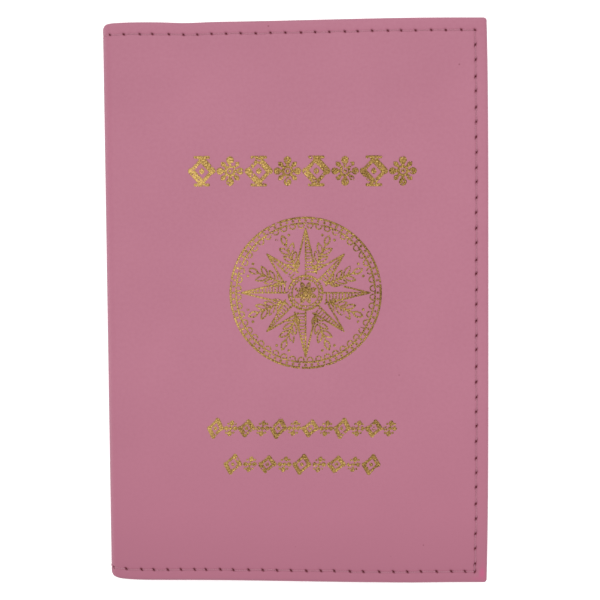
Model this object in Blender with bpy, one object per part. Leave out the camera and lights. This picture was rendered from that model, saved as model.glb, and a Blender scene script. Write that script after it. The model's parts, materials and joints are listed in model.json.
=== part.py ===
"""Leather passport holder, lying closed on its back cover, with the fold (spine) on the left.

Axes: +X from the spine to the fore edge, +Y towards the top of the covers, +Z up through the thickness.
The origin is the middle of the footprint, on the surface that the holder lies on. Lengths are in metres.
The back cover stays put. The spine folds about the lower spine edge, and the front cover about the upper one.
"""

import math

import bmesh
import bpy
from mathutils import Vector

MM = 0.001

# Driving dimensions
PASSPORT_HEIGHT = 125 * MM
PASSPORT_WIDTH = 88 * MM
COVER_HEIGHT = PASSPORT_HEIGHT + 16 * MM
COVER_WIDTH = PASSPORT_WIDTH + 8 * MM
LEATHER = 1.0 * MM
HEM = 0.6 * MM
SLEEVE = 0.6 * MM
LINING = 0.25 * MM
CARD_POCKET = 0.4 * MM
CARD_POCKETS = ("top", "middle", "bottom")
PAGE_SPACE = 4.85 * MM
GLUE_GAP = 0.05 * MM
CUT_MARGIN = 1.0 * MM

# Depths below a cover's outer face, layer by layer
LINING_DEPTH = LEATHER + GLUE_GAP
HEM_DEPTH = LEATHER + GLUE_GAP
SLEEVE_DEPTH = HEM_DEPTH + HEM + GLUE_GAP
COVER_STACK = SLEEVE_DEPTH + SLEEVE
CARD_STACK = len(CARD_POCKETS) * (CARD_POCKET + GLUE_GAP)
THICKNESS = 2 * COVER_STACK + CARD_STACK + PAGE_SPACE

# Outline of a cover
SPINE_X = -COVER_WIDTH / 2
FORE_X = COVER_WIDTH / 2
TOP_Y = COVER_HEIGHT / 2
SPINE_CORNER_RADIUS = 2.0 * MM
FORE_CORNER_RADIUS = 1.0 * MM
CORNER_STEPS = 5
FOLD_RADIUS = 1.0 * MM
FOLD_STEPS = 3
FOLD_GAP = 0.15 * MM

# The fold runs slightly off square: the covers are narrower at their bottom
SPINE_LEAN = 2.2 * MM
LEAN_TOP_Y = TOP_Y - SPINE_CORNER_RADIUS
LEAN_HEIGHT = 2 * TOP_Y - SPINE_CORNER_RADIUS
LEAN_FULL_X = SPINE_X + 4.0 * MM
LEAN_END_X = -14.0 * MM

# Turned-in margin, and the frame that it leaves for the lining
HEM_WIDTH = 9.0 * MM
HEM_START_X = SPINE_X + 2.1 * MM
LINING_GAP = 0.3 * MM
SPINE_INSET_Y = 1.2 * MM
SPINE_INNER_GAP = 0.25 * MM

# Sleeves and card pockets on the inner side
SLEEVE_INSET = 1.0 * MM
BACK_SLEEVE_X = -14.0 * MM
FRONT_SLEEVE_X = SPINE_X + 4.0 * MM
CARD_STEP_Y = 13.0 * MM
CARD_TOP_Y = 7.5 * MM
CARD_BOTTOM_Y = -66.2 * MM
CARD_SPINE_X = FRONT_SLEEVE_X + 0.8 * MM
CARD_FORE_X = 43.9 * MM
CARD_CORNER_RADIUS = 1.0 * MM

# Seams
SEAM_INSET = 2.9 * MM
STITCH_PITCH = 3.68 * MM
THREAD_RADIUS = 0.18 * MM
SEAM_X = FORE_X - SEAM_INSET
SEAM_Y = TOP_Y - SEAM_INSET
GROOVE_WIDTH = 1.0 * MM
OUTER_GROOVE = 0.60 * MM
SLEEVE_GROOVE = 0.45 * MM
SURFACE_GAP = 0.03 * MM
THREAD_DIP = 0.18 * MM
THREAD_END = 1.3 * MM
BOBBIN_END = 0.5 * MM
BOBBIN_STEP = 0.3 * MM
CARD_SEAM_INSET = 1.6 * MM
THREAD_RAMP = 1.0 * MM

# Hot-stamped foil on the front cover: a title band, a round emblem and two caption bands
FOIL = 0.06 * MM
FOIL_GAP = 0.02 * MM
TITLE_X = 1.6 * MM
TITLE_Y = 32.2 * MM
TITLE_SIZE = (57.6 * MM, 7.6 * MM)
TITLE_MOTIFS = 8
EMBLEM_X = 2.6 * MM
EMBLEM_Y = 1.8 * MM
EMBLEM_RADIUS = 19.0 * MM
EMBLEM_RING = 1.4 * MM
EMBLEM_STEPS = 48
STAR_POINTS = 8
STAR_WAIST = 5.0 * MM
CAPTION_BANDS = (
    ("upper", -32.0 * MM, (48.0 * MM, 5.0 * MM), 12),
    ("lower", -41.0 * MM, (39.0 * MM, 5.0 * MM), 9),
)
LINK_HALF_HEIGHT = 0.4 * MM

# Looks: name, linear colour, roughness, metallic
PINK_LEATHER = ("pink_leather", (0.503, 0.200, 0.283), 0.48, 0.0)
PINK_LEATHER_INSIDE = ("pink_leather_inside", (0.455, 0.170, 0.245), 0.55, 0.0)
LINING_FABRIC = ("lining_fabric", (0.230, 0.085, 0.125), 0.80, 0.0)
THREAD = ("seam_thread", (0.300, 0.110, 0.160), 0.65, 0.0)

GOLD_FOIL = ("gold_foil", (0.640, 0.430, 0.110), 0.32, 1.0)


def clear_scene():
    for old in list(bpy.data.objects):
        bpy.data.objects.remove(old, do_unlink=True)


def material(look):
    """The Principled material of a look, made once."""
    name, colour, roughness, metallic = look
    found = bpy.data.materials.get(name)
    if found:
        return found
    made = bpy.data.materials.new(name)
    made.use_nodes = True
    shader = made.node_tree.nodes["Principled BSDF"]
    shader.inputs["Base Color"].default_value = (*colour, 1.0)
    shader.inputs["Roughness"].default_value = roughness
    shader.inputs["Metallic"].default_value = metallic
    return made


def lean(x, y):
    """How far the leaning fold moves a point along X: all of it at the spine, none past the middle third."""
    share = (LEAN_END_X - x) / (LEAN_END_X - LEAN_FULL_X)
    return SPINE_LEAN * (LEAN_TOP_Y - y) / LEAN_HEIGHT * min(1.0, max(0.0, share))


def lean_points(data):
    """Moves a mesh's or a curve's points with the leaning fold."""
    if isinstance(data, bpy.types.Mesh):
        points = data.vertices
    else:
        points = data.splines[0].points
    for point in points:
        point.co.x += lean(point.co.x, point.co.y)


def body_empty(name, height):
    """The parent of one rigid body's pieces, on the fold's edge at a height, with its Y along the fold."""
    empty = bpy.data.objects.new(name, None)
    empty.location = (SPINE_X + lean(SPINE_X, 0), 0, height)
    empty.rotation_euler.z = math.atan2(SPINE_LEAN, LEAN_HEIGHT)
    bpy.context.scene.collection.objects.link(empty)
    return empty


def add_object(name, data, look, body):
    """Links an object whose points are in world coordinates, under its body's empty."""
    obj = bpy.data.objects.new(name, data)
    bpy.context.scene.collection.objects.link(obj)
    obj.data.materials.append(material(look))
    lean_points(data)
    data.transform(body.matrix_world.inverted())
    obj.parent = body
    return obj


def prism_mesh(name, outline, low, high, axis):
    """The closed solid of a flat outline pushed from low to high along an axis: x, y or z."""
    order = {"z": (0, 1, 2), "x": (2, 0, 1), "y": (0, 2, 1)}[axis]

    def placed(flat, level):
        values = (flat[0], flat[1], level)
        return Vector([values[i] for i in order])

    mesh = bpy.data.meshes.new(name)
    work = bmesh.new()
    base = work.faces.new([work.verts.new(placed(p, low)) for p in outline])
    pushed = bmesh.ops.extrude_face_region(work, geom=[base])
    lifted = [v for v in pushed["geom"] if isinstance(v, bmesh.types.BMVert)]
    shift = placed((0, 0), high - low)
    bmesh.ops.translate(work, verts=lifted, vec=shift)
    bmesh.ops.recalc_face_normals(work, faces=work.faces)
    work.to_mesh(mesh)
    work.free()
    return mesh


def prism(name, outline, low, high, look, body, axis="z"):
    return add_object(name, prism_mesh(name, outline, low, high, axis), look, body)


def rectangle(x0, x1, y0, y1):
    return [(x0, y0), (x1, y0), (x1, y1), (x0, y1)]


def arc(centre, radius, start, end, steps):
    """Points of an arc, with its angles in degrees."""
    points = []
    for k in range(steps + 1):
        angle = math.radians(start + (end - start) * k / steps)
        points.append((centre[0] + radius * math.cos(angle), centre[1] + radius * math.sin(angle)))
    return points


def rounded_outline(x0, x1, y0, y1, left_radius, right_radius):
    """A rectangle with one corner radius on its left and another on its right, counterclockwise."""
    corners = (
        ((x0 + left_radius, y0 + left_radius), left_radius, 180),
        ((x1 - right_radius, y0 + right_radius), right_radius, 270),
        ((x1 - right_radius, y1 - right_radius), right_radius, 0),
        ((x0 + left_radius, y1 - left_radius), left_radius, 90),
    )
    points = []
    for centre, radius, start in corners:
        points += arc(centre, radius, start, start + 90, CORNER_STEPS)
    return points


def u_band(x_start, x_end, y_end, half_width):
    """The band along a U that opens towards the spine, as one outline."""
    outer_x, outer_y = x_end + half_width, y_end + half_width
    inner_x, inner_y = x_end - half_width, y_end - half_width
    return [
        (x_start, -outer_y), (outer_x, -outer_y), (outer_x, outer_y), (x_start, outer_y),
        (x_start, inner_y), (inner_x, inner_y), (inner_x, -inner_y), (x_start, -inner_y),
    ]


def cut(obj, outline, low, high, body, axis="z"):
    """Cuts a prism out of a piece, with a hidden cutter."""
    name = obj.name + "_cutter_" + str(len(obj.modifiers))
    cutter = prism(name, outline, low, high, PINK_LEATHER, body, axis)
    cutter.hide_render = True
    cutter.display_type = "WIRE"
    change = obj.modifiers.new("groove", "BOOLEAN")
    change.operation = "DIFFERENCE"
    change.object = cutter


class Side:
    """One cover: its name, and how a depth below its outer face becomes a height."""

    def __init__(self, name, body, outer_z, inward):
        self.name = name
        self.body = body
        self.outer_z = outer_z
        self.inward = inward

    def level(self, depth):
        return self.outer_z + self.inward * depth

    def span(self, depth, thickness):
        return sorted((self.level(depth), self.level(depth + thickness)))


def cover_profile(side, inset):
    """Section of a cover's leather in X and Z: rounded and mitred at the fold, square at the fore edge."""
    centre_x = SPINE_X + FOLD_RADIUS
    rounding = [
        (centre_x - FOLD_RADIUS * math.sin(a), side.level(FOLD_RADIUS * (1 - math.cos(a))))
        for a in [math.radians(45 * k / FOLD_STEPS) for k in range(FOLD_STEPS + 1)]
    ]
    mitre_inner = (SPINE_X + LEATHER + inset, side.level(LEATHER))
    fore = [(FORE_X, side.level(LEATHER)), (FORE_X, side.level(0))]
    moved = [(x + (inset if k else 0), z) for k, (x, z) in enumerate(rounding)]
    return moved + [mitre_inner] + fore


def add_cover_leather(side):
    """The outer leather: the section pushed along Y, trimmed to the rounded outline, with the seam's groove."""
    leather = prism(
        side.name + "_leather", cover_profile(side, FOLD_GAP / 2), -TOP_Y, TOP_Y,
        PINK_LEATHER, side.body, axis="y",
    )
    low, high = side.span(-CUT_MARGIN, LEATHER + 2 * CUT_MARGIN)
    plan = rounded_outline(SPINE_X, FORE_X, -TOP_Y, TOP_Y, SPINE_CORNER_RADIUS, FORE_CORNER_RADIUS)
    trim = prism(side.name + "_trim", plan, low, high, PINK_LEATHER, side.body)
    trim.hide_render = True
    trim.display_type = "WIRE"
    shape = leather.modifiers.new("outline", "BOOLEAN")
    shape.operation = "INTERSECT"
    shape.object = trim
    groove = u_band(SPINE_X - CUT_MARGIN, SEAM_X, SEAM_Y, GROOVE_WIDTH / 2)
    low, high = side.span(-CUT_MARGIN, CUT_MARGIN + OUTER_GROOVE)
    cut(leather, groove, low, high, side.body)


def add_hems(side):
    """The margin turned in on three sides, mitred at the fore-edge corners."""
    low, high = side.span(HEM_DEPTH, HEM)
    x, y, width, corner, gap = FORE_X, TOP_Y, HEM_WIDTH, FORE_CORNER_RADIUS, GLUE_GAP
    for name, sign in (("top", 1), ("bottom", -1)):
        strip = [
            (HEM_START_X, y), (x - corner, y), (x - corner / 2 - gap, y - corner / 2),
            (x - width - gap, y - width), (HEM_START_X, y - width),
        ]
        outline = [(px, sign * py) for px, py in strip]
        prism(f"{side.name}_hem_{name}", outline, low, high, PINK_LEATHER_INSIDE, side.body)
    half = [(x - width, y - width - gap), (x - corner / 2, y - corner / 2 - gap), (x, y - corner)]
    outer = half + [(px, -py) for px, py in reversed(half)]
    prism(side.name + "_hem_outer", outer, low, high, PINK_LEATHER_INSIDE, side.body)


def add_lining(side):
    low, high = side.span(LINING_DEPTH, LINING)
    edge_y = TOP_Y - HEM_WIDTH - LINING_GAP
    outline = rectangle(HEM_START_X, FORE_X - HEM_WIDTH - LINING_GAP, -edge_y, edge_y)
    prism(side.name + "_lining", outline, low, high, LINING_FABRIC, side.body)


def add_sleeve(side, start_x):
    """The leather sleeve that a cover of the passport slides behind, with the bobbin thread's groove."""
    low, high = side.span(SLEEVE_DEPTH, SLEEVE)
    outline = rounded_outline(
        start_x, FORE_X - SLEEVE_INSET, SLEEVE_INSET - TOP_Y, TOP_Y - SLEEVE_INSET,
        FORE_CORNER_RADIUS, FORE_CORNER_RADIUS,
    )
    sleeve = prism(side.name + "_sleeve", outline, low, high, PINK_LEATHER_INSIDE, side.body)
    groove = u_band(start_x - CUT_MARGIN, SEAM_X, SEAM_Y, GROOVE_WIDTH / 2)
    low, high = side.span(COVER_STACK - SLEEVE_GROOVE, SLEEVE_GROOVE + CUT_MARGIN)
    cut(sleeve, groove, low, high, side.body)


def stitches(start, end, with_first=True):
    """A run of lockstitch as (position, share of the dip): 1 in a needle hole, 0 on top of a stitch."""
    count = max(1, round((end - start).length / STITCH_PITCH))
    run = []
    for k in range(2 * count + 1):
        run.append((start.lerp(end, k / (2 * count)), 1.0 if k % 2 == 0 else 0.0))
    return run if with_first else run[1:]


def thread(name, points, body):
    """A seam's thread as a poly curve with a four-sided section and closed ends."""
    curve = bpy.data.curves.new(name, "CURVE")
    curve.dimensions = "3D"
    curve.bevel_depth = THREAD_RADIUS
    curve.bevel_resolution = 0
    curve.use_fill_caps = True
    spline = curve.splines.new("POLY")
    spline.points.add(len(points) - 1)
    for place, point in zip(spline.points, points):
        place.co = (*point, 1.0)
    return add_object(name, curve, THREAD, body)


def add_needle_thread(side):
    """The thread on the outer face: along the top, down the fore edge and back along the bottom."""
    corners = [
        Vector((SPINE_X + THREAD_END, SEAM_Y, 0)), Vector((SEAM_X, SEAM_Y, 0)),
        Vector((SEAM_X, -SEAM_Y, 0)), Vector((SPINE_X + THREAD_END, -SEAM_Y, 0)),
    ]
    points = []
    for k, (start, end) in enumerate(zip(corners, corners[1:])):
        for place, dip in stitches(start, end, with_first=(k == 0)):
            depth = THREAD_RADIUS + SURFACE_GAP + THREAD_DIP * dip
            points.append(Vector((place.x, place.y, side.level(depth))))
    thread(side.name + "_needle_thread", points, side.body)


def add_bobbin_thread(side, sleeve_x):
    """The thread on the inner face. It lies on the hem, climbs to the sleeve and stays in its groove."""
    on_hem = side.level(HEM_DEPTH + HEM + THREAD_RADIUS + SURFACE_GAP)
    on_sleeve = side.level(COVER_STACK - SLEEVE_GROOVE + THREAD_RADIUS + SURFACE_GAP)
    half = [(sleeve_x - BOBBIN_STEP, on_sleeve), (SEAM_X, on_sleeve)]
    climb_x = sleeve_x - BOBBIN_STEP - THREAD_RAMP
    if climb_x > HEM_START_X + THREAD_RAMP:
        half = [(HEM_START_X + THREAD_RAMP / 2, on_hem), (climb_x, on_hem)] + half
    points = [Vector((x, SEAM_Y, z)) for x, z in half]
    points += [Vector((x, -SEAM_Y, z)) for x, z in reversed(half)]
    thread(side.name + "_bobbin_thread", points, side.body)


def add_card_pockets(side):
    """Three leather pockets stepped down the front sleeve, and the seam that holds them on three sides."""
    for k, name in enumerate(CARD_POCKETS):
        depth = COVER_STACK + GLUE_GAP + k * (CARD_POCKET + GLUE_GAP)
        low, high = side.span(depth, CARD_POCKET)
        outline = rounded_outline(
            CARD_SPINE_X, CARD_FORE_X, CARD_BOTTOM_Y, CARD_TOP_Y - k * CARD_STEP_Y,
            CARD_CORNER_RADIUS, CARD_CORNER_RADIUS,
        )
        prism("card_pocket_" + name, outline, low, high, PINK_LEATHER_INSIDE, side.body)
    add_card_pocket_thread(side)


def add_card_pocket_thread(side):
    """Down the spine side, along the bottom and up the fore side, stepping over each pocket's top edge."""
    half = []
    for k in range(len(CARD_POCKETS)):
        depth = COVER_STACK + (k + 1) * (CARD_POCKET + GLUE_GAP) + THREAD_RADIUS + SURFACE_GAP
        top = CARD_TOP_Y - k * CARD_STEP_Y
        upper = top - CARD_CORNER_RADIUS if k == 0 else top + THREAD_RAMP / 2
        lower = top - CARD_STEP_Y + THREAD_RAMP
        half.append((upper, side.level(depth)))
        half.append((lower, side.level(depth)))
    half[-1] = (CARD_BOTTOM_Y + CARD_SEAM_INSET, half[-1][1])
    spine_x = CARD_SPINE_X + CARD_SEAM_INSET
    fore_x = CARD_FORE_X - CARD_SEAM_INSET
    points = [Vector((spine_x, y, z)) for y, z in half]
    points += [Vector((fore_x, y, z)) for y, z in reversed(half)]
    thread("card_pocket_thread", points, side.body)


def band_outline(centre_y, size, motifs):
    """A chain of linked lozenges across the cover, as one outline."""
    step, half = size[0] / motifs, size[1] / 2
    start = TITLE_X - size[0] / 2
    upper = [(start, centre_y)]
    for k in range(motifs):
        upper.append((start + (k + 0.5) * step, centre_y + half))
        if k < motifs - 1:
            upper.append((start + (k + 1) * step, centre_y + LINK_HALF_HEIGHT))
    upper.append((start + size[0], centre_y))
    lower = [(x, 2 * centre_y - y) for x, y in reversed(upper[1:-1])]
    return upper + lower


def add_foil(name, outline, body):
    low = THICKNESS + FOIL_GAP
    return prism("foil_" + name, outline, low, low + FOIL, GOLD_FOIL, body)


def add_emblem_foil(body):
    """A ring with a star inside it. The star's points reach into the ring, so the two are one body."""
    centre = (EMBLEM_X, EMBLEM_Y)
    emblem = add_foil("emblem", arc(centre, EMBLEM_RADIUS, 0, 360, EMBLEM_STEPS)[:-1], body)
    low = THICKNESS - FOIL
    window = arc(centre, EMBLEM_RADIUS - EMBLEM_RING, 0, 360, EMBLEM_STEPS)[:-1]
    cut(emblem, window, low, low + 4 * FOIL, body)
    star = []
    for k in range(2 * STAR_POINTS):
        radius = STAR_WAIST if k % 2 else EMBLEM_RADIUS - EMBLEM_RING / 2
        angle = math.pi * k / STAR_POINTS
        star.append((centre[0] + radius * math.cos(angle), centre[1] + radius * math.sin(angle)))
    rays = add_foil("emblem_rays", star, body)
    rays.hide_render = True
    rays.display_type = "WIRE"
    join = emblem.modifiers.new("rays", "BOOLEAN")
    join.operation = "UNION"
    join.object = rays


def add_foils(body):
    add_foil("title", band_outline(TITLE_Y, TITLE_SIZE, TITLE_MOTIFS), body)
    add_emblem_foil(body)
    for name, centre_y, size, motifs in CAPTION_BANDS:
        add_foil("caption_" + name, band_outline(centre_y, size, motifs), body)


def spine_profile():
    """Section of the spine's leather in X and Z, mitred against both covers."""
    gap = FOLD_GAP / 2
    centre = (SPINE_X + FOLD_RADIUS, FOLD_RADIUS)
    angles = [math.radians(45 + 45 * k / FOLD_STEPS) for k in range(FOLD_STEPS + 1)]
    low = [
        (centre[0] - FOLD_RADIUS * math.sin(a), centre[1] - FOLD_RADIUS * math.cos(a) + gap)
        for a in angles
    ]
    low = [(SPINE_X + LEATHER, LEATHER + gap)] + low
    high = [(x, THICKNESS - z) for x, z in reversed(low)]
    return low + high


def add_spine(body):
    """The spine's leather, lining, hems and seam ends."""
    half_y = TOP_Y - SPINE_INSET_Y
    leather = prism(
        "spine_leather", spine_profile(), -half_y, half_y, PINK_LEATHER, body, axis="y"
    )
    inner_x = SPINE_X + LEATHER + GLUE_GAP
    low_z = COVER_STACK - SLEEVE + SPINE_INNER_GAP
    high_z = THICKNESS - low_z
    hem_y = TOP_Y - HEM_WIDTH
    lining_y = hem_y - LINING_GAP
    lining = rectangle(-lining_y, lining_y, low_z, high_z)
    prism("spine_lining", lining, inner_x, inner_x + LINING, LINING_FABRIC, body, axis="x")
    for name, sign in (("top", 1), ("bottom", -1)):
        ends = sorted((sign * hem_y, sign * half_y))
        hem = rectangle(*ends, low_z, high_z)
        prism(
            "spine_hem_" + name, hem, inner_x, inner_x + HEM, PINK_LEATHER_INSIDE, body, axis="x"
        )
        seam_y = sign * SEAM_Y
        groove = rectangle(
            SPINE_X - CUT_MARGIN, SPINE_X + OUTER_GROOVE,
            seam_y - GROOVE_WIDTH / 2, seam_y + GROOVE_WIDTH / 2,
        )
        cut(leather, groove, -CUT_MARGIN, THICKNESS + CUT_MARGIN, body)
        run_low = Vector((0, seam_y, THREAD_END))
        run_high = Vector((0, seam_y, THICKNESS - THREAD_END))
        points = []
        for place, dip in stitches(run_low, run_high):
            depth = THREAD_RADIUS + SURFACE_GAP + THREAD_DIP * dip
            points.append(Vector((SPINE_X + depth, place.y, place.z)))
        thread("spine_needle_thread_" + name, points, body)
        bobbin_x = inner_x + HEM + THREAD_RADIUS + SURFACE_GAP
        ends = [Vector((bobbin_x, seam_y, z)) for z in (low_z + BOBBIN_END, high_z - BOBBIN_END)]
        thread("spine_bobbin_thread_" + name, ends, body)


def main():
    clear_scene()
    back_body = body_empty("back_cover_body", 0)
    spine_body = body_empty("spine_fold_axis", 0)
    front_body = body_empty("cover_fold_axis", THICKNESS)
    bpy.context.view_layer.update()
    back = Side("back", back_body, 0.0, 1)
    front = Side("front", front_body, THICKNESS, -1)
    for side, sleeve_x in ((back, BACK_SLEEVE_X), (front, FRONT_SLEEVE_X)):
        add_cover_leather(side)
        add_hems(side)
        add_lining(side)
        add_sleeve(side, sleeve_x)
        add_needle_thread(side)
        add_bobbin_thread(side, sleeve_x)
    add_card_pockets(front)
    add_foils(front_body)
    add_spine(spine_body)


main()
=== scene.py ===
"""Looks of the leather passport holder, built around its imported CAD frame.

Lengths are in millimetres until a mesh is written. A cover is described flat: a is the distance from
its fore edge along the leather, b the distance from its bottom edge, and depth the distance below its
outer face. Half.place() bends that flat description over the cover, round the fold and down the spine
to its middle.
"""

import json
import math

import bpy
import numpy as np
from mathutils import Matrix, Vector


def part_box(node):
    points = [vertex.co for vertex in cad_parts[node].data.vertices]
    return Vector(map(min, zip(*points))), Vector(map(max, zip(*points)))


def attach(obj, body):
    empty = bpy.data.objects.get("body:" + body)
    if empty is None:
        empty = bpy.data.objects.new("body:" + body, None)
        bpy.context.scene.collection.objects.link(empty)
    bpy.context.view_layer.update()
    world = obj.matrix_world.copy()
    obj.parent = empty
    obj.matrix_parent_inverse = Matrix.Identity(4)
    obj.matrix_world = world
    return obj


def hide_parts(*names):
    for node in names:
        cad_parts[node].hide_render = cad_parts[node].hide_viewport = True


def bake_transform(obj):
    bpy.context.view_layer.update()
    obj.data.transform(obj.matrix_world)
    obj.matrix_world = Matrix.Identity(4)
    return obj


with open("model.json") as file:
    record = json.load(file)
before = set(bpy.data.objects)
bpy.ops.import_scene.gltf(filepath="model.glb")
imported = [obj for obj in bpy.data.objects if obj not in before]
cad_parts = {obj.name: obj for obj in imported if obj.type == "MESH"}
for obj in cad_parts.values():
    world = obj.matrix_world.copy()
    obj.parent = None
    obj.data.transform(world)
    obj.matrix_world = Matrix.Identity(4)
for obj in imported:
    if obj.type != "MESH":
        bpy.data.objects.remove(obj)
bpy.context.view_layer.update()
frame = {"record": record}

MM = 0.001
FULL_TURN = 2 * math.pi


def box_mm(node):
    """The lowest and highest corner of a CAD node."""
    low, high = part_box(node)
    return [c / MM for c in low], [c / MM for c in high]


# ---- sizes from the CAD
LEATHER_LOW, LEATHER_HIGH = box_mm("front_leather")
FORE_X, TOP_Y, THICK = LEATHER_HIGH
HEIGHT = 2 * TOP_Y
WIDTH = 2 * FORE_X
LEATHER = THICK - LEATHER_LOW[2]
LAYER_GAP = 0.05
SLEEVE_BOX = {"front": box_mm("front_sleeve"), "back": box_mm("back_sleeve")}
SLEEVE_DEPTH = SLEEVE_BOX["back"][0][2]
STACK = SLEEVE_BOX["back"][1][2]
SLEEVE = STACK - SLEEVE_DEPTH
LINING_BOX = box_mm("back_lining")
LINING_DEPTH = LINING_BOX[0][2]
LINING = LINING_BOX[1][2] - LINING_DEPTH

FOLD_JOINT = frame["record"]["behaviour"]["joints"][0]
FOLD_MID_X = FOLD_JOINT["pos_m"][0] / MM
FOLD_SLOPE = FOLD_JOINT["axis"][0] / FOLD_JOINT["axis"][1]

# ---- shape of the leather
FOLD_RADIUS = 2.3
FOLD_FROM = WIDTH - FOLD_RADIUS
FOLD_ARC = FOLD_RADIUS * math.pi / 2
HALF_LENGTH = FOLD_FROM + FOLD_ARC + THICK / 2 - FOLD_RADIUS
# the fold leans, and the cover takes up that lean between these places
LEAN_FROM = WIDTH - 34.0
LEAN_TO = WIDTH - 4.0
# how far the top (1) and bottom (-1) edges draw in at the fold, and over what length
FOLD_SLOPES = {1: (0.6, 3.5), -1: (1.0, 3.0)}
FOLD_CORNERS = {1: (0.85, 0.7), -1: (0.95, 0.7)}
# the edges run slightly off square: by how much, from which a, and over what length
TOP_DROP = (1.18, 8.0, 70.0)
TOP_DIP = (0.22, 75.5, 5.0)
BOTTOM_DROP = (0.66, 16.0, 61.0)
BOTTOM_CORNER_RISE = (0.12, 20.0, -14.0)
FORE_EDGE_BOW = 0.45
FORE_EDGE_OUT = 0.25
FORE_BOW_REACH = 30.0
# powers by which those changes fade towards the middle of the height
EDGE_FADE = 3
FOLD_FADE = 12
# a cover lies a little uneven: mean depth, then depth and lengths of a slow and of a fine wave
WAVE_DEPTH = 0.10
SLOW_WAVE = (0.07, 17.0, 23.0)
FINE_WAVE = (0.03, 9.0, 14.0)
WAVE_PHASES = {"front": (0.6, 0.4), "back": (0.6, 1.9)}

# the edges are turned in, and the hem ends in a small step
HEM_WIDTH = 9.0
HEM_STEP = 0.3
HEM_END = SLEEVE_DEPTH - LAYER_GAP
HEM_THINNING = (0.35, FOLD_FROM - 4.0, 5.0)

# painted shade: the leather is drawn greyer and darker along its rim and over the fold
RIM_SHADE_REACH = 1.3
FOLD_SHADE = 0.95
FOLD_SHADE_REACH = 1.4

# the dye is stronger in the lower fore corner, and trails off along both edges
DYE_SPOT = 0.8
DYE_SPOT_AT = (1.25, 2.3)
DYE_SPOT_SHAPE = (1.2, 0.62)
DYE_SPOT_FADE = (0.15, 1.35)
DYE_TRAIL = 0.35
DYE_TRAIL_WIDTH = 0.6

# ---- shape of the lining and the pockets
LINING_INSET = HEM_WIDTH + HEM_STEP
LINING_EASE = (0.22, FOLD_FROM - 8.0, 6.0)
LINING_EASE_PITCH = 3.4
# from the fore edge: where each CAD sleeve ends and the skin shows, and where its mouth is built
SLEEVE_END = {name: FORE_X - box[0][0] for name, box in SLEEVE_BOX.items()}
SLEEVE_MOUTH = {"front": WIDTH - 4.0, "back": SLEEVE_END["back"]}
# how far a face's detail goes on under the sleeve or the card pocket that covers it
SLEEVE_OVERLAP = 3.0
CARD_OVERLAP = 1.0
SLEEVE_GAPE = 0.55
SLEEVE_GAPE_REACH = 34.0
SLEEVE_GAPE_INSET = 4.0

CARD_BOX = box_mm("card_pocket_top")
CARD_FORE = FORE_X - CARD_BOX[1][0]
CARD_MOUTH_END = WIDTH - 4.8
CARD_LOW = CARD_BOX[0][1] + TOP_Y
CARD_STEP = 13.0
CARD_SEAM_INSET = 1.6
CARD_SEAM_END = 0.9
# how far inside its mouth a piece is creased, and how deep
SLEEVE_CREASE = (2.2, 0.15)
CARD_CREASE = (1.8, 0.12)
CREASE_WIDTH = 0.30
# how dark the painted shade in a crease is
CREASE_SHADE = 0.16

# ---- seams
FORE_SEAM_INSET = 3.05
TOP_SEAM_INSET = 3.22
BOTTOM_SEAM_INSET = 2.78
# pitch and hole length of each run of stitches
TOP_STITCH = (3.65, 0.46)
FORE_STITCH = (3.75, 0.60)
BOTTOM_STITCH = (3.56, 0.58)
CARD_STITCH = (3.2, 0.54)
# how far past the start of the fold the last needle hole of the cover lies
TOP_LAST_HOLE = 0.5
BOTTOM_LAST_HOLE = 1.9
# the seam starts and ends in the lower fore corner, with a short stitch on each side
END_STITCH_UP = 1.9
END_STITCH_ALONG = 2.45
# how far holes stray along the seam and across it
HOLE_JITTER = 0.08
HOLE_STRAY = 0.06
HOLE_WIDE = 0.28
HOLE_REACH = 1.6
# a hole's painted shade is full up to the first share of its size, and fades over the second
HOLE_FADE = (0.52, 0.58)
LEVEL_HOLE_SLANT = math.radians(42)
UPRIGHT_HOLE_SLANT = math.radians(16)
# depth and width of a seam's groove, and depth of its holes, on each kind of face
SKIN_RELIEF = (0.055, 0.40, 0.45)
HEM_RELIEF = (0.10, 0.45, 0.25)
SLEEVE_RELIEF = (0.16, 0.45, 0.25)
CARD_RELIEF = (0.08, 0.40, 0.18)
# the outer groove fades at the fold, and the leather swells beside it: height, place inwards, width
SEAM_FADE = (0.6, FOLD_FROM - 3.0, 4.0)
SEAM_SWELLS = ((0.03, -1.5, 0.7), (0.02, 1.9, 1.2))
# painted shade along the outer seam's groove: how dark, and how wide
SEAM_GROOVE_SHADE = 0.07
SEAM_GROOVE_SHADE_WIDTH = 0.22

THREAD_TWIST = 1.15
THREAD_BOW = 0.16
THREAD_SAMPLES = 22
THREAD_SIDES = 5
THREAD_PLIES = 2
# shares of the thread's thickness
PLY_OFFSET = 0.5
PLY_RADIUS = 0.55
# a stitch dives at its ends, the more steeply the higher this power
DIVE_POWER = 8
DIVE_SHADE = (0.90, 0.5)

# ---- foil
# the stamp presses a channel that is a little wider than the foil
FOIL_PRESS = 0.13
FOIL_WALL = 0.40
FOIL_CLEAR = 0.16
FOIL_LIFT = 0.035
FOIL_ROOT = 0.02
# the film misses the deepest grain, more so in some patches
FOIL_WEAR = 1.6
FOIL_PATCHES = 0.35
FOIL_FLECK = 0.12
# painted gleam: how far along a stamp, as a share of its length, the second of its gleam values lies
PAINTED_GLEAM_LENGTH = 0.14
HUB_RADIUS = 4.25
RAY_ROOT = 4.9
CAPTION_SLANT = 0.27

# ---- grid of the plates
UNIT = 0.1875
CELLS = (8, 4, 2, 1)
# how far from a detail the cells of 1, 2 and 4 units reach
CELL_REACHES = {1: 0.4, 2: 0.9, 4: 1.9}
CUT_CELL = 2
FAR = 1e3
# half-width of the band of finest cells along each kind of detail
SKIN_FINE = 0.5
SLEEVE_FINE = 0.4
CREASE_FINE = 0.3
EDGE_FINE = 0.2
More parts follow.
